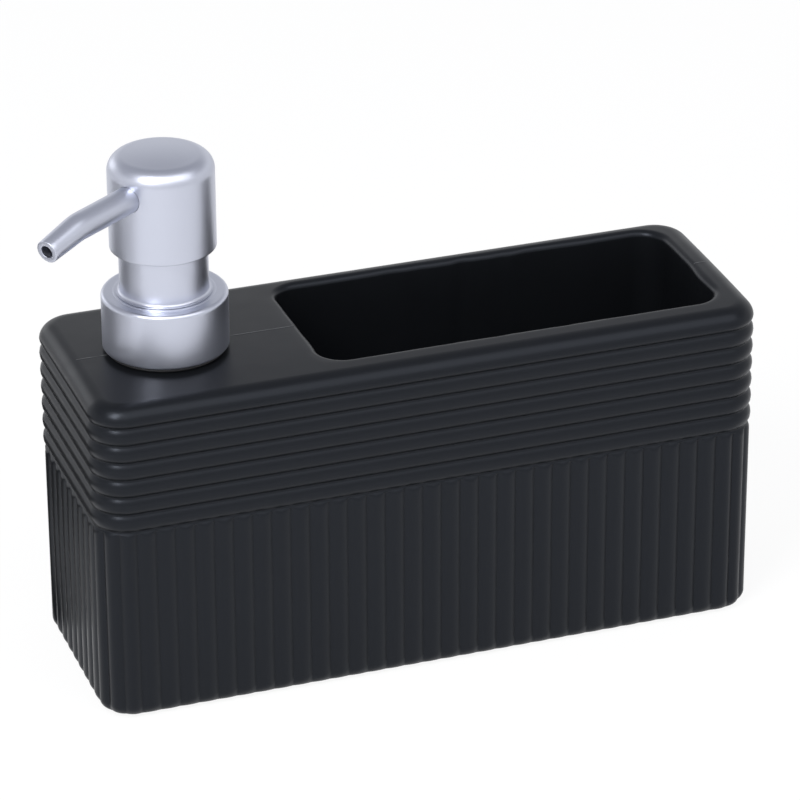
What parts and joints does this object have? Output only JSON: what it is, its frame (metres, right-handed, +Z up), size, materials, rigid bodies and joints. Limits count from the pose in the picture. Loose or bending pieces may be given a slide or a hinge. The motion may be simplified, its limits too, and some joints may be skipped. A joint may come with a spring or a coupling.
{
  "type": "soap pump caddy",
  "caption": "Ribbed ceramic caddy with an open sponge compartment beside a soap reservoir, and a satin steel lotion pump whose head presses and swivels.",
  "frame": {"origin": "middle of the base, on the surface that the caddy stands on", "axes": "+X along the length from the pump's end to the compartment, -Y towards the front, +Z up"},
  "size_m": [0.1904, 0.062, 0.1426],
  "materials": {
    "ceramic": "satin black glaze over a slip-cast body",
    "satin_steel": "satin, blasted stainless sheet",
    "spring_steel": "drawn stainless wire and ball",
    "black_plastic": "moulded black polypropylene",
    "pale_plastic": "moulded natural polypropylene",
    "tube_plastic": "extruded natural polyethylene",
    "seal_rubber": "soft pale seal",
    "pad_foam": "closed-cell foam sheet"
  },
  "bodies": {
    "caddy": {"caddy_body": "ceramic", "base_pad": "pad_foam", "neck_insert": "black_plastic"},
    "pump_barrel": {"neck_gasket": "seal_rubber", "pump_housing": "pale_plastic", "guide_bush": "pale_plastic", "chimney_sleeve": "satin_steel", "dip_tube": "tube_plastic", "return_spring": "spring_steel"},
    "collar": {"collar_nut": "black_plastic", "collar_shell": "satin_steel"},
    "plunger": {"stem": "pale_plastic", "piston": "pale_plastic", "piston_retainer": "pale_plastic"},
    "head": {"head_core": "black_plastic", "head_shell": "satin_steel", "spout": "satin_steel"},
    "inlet_valve": {"inlet_ball": "spring_steel"}
  },
  "joints": [
    {"name": "pump_rise", "type": "slide", "parent": "caddy", "child": "pump_barrel", "axis": [0, 0, 1], "range_m": [0, 0.00529]},
    {"name": "collar_turn", "type": "hinge", "parent": "pump_barrel", "child": "collar", "pos_m": [-0.0622, 0, 0.1], "axis": [0, 0, 1], "range_deg": [0, 450]},
    {"name": "head_press", "type": "slide", "parent": "pump_barrel", "child": "plunger", "axis": [0, 0, -1], "range_m": [0, 0.011], "stiffness_N_per_m": 700, "springref_m": -0.008, "deforming": ["return_spring"]},
    {"name": "head_swivel", "type": "hinge", "parent": "plunger", "child": "head", "pos_m": [-0.0622, 0, 0.1], "axis": [0, 0, 1], "continuous": true},
    {"name": "ball_lift", "type": "slide", "parent": "pump_barrel", "child": "inlet_valve", "axis": [0, 0, 1], "range_m": [0, 0.0012]}
  ],
  "couplings": [
    {"joint": "collar_turn", "follows": "pump_rise", "rad_per_m": 1484.3}
  ]
}
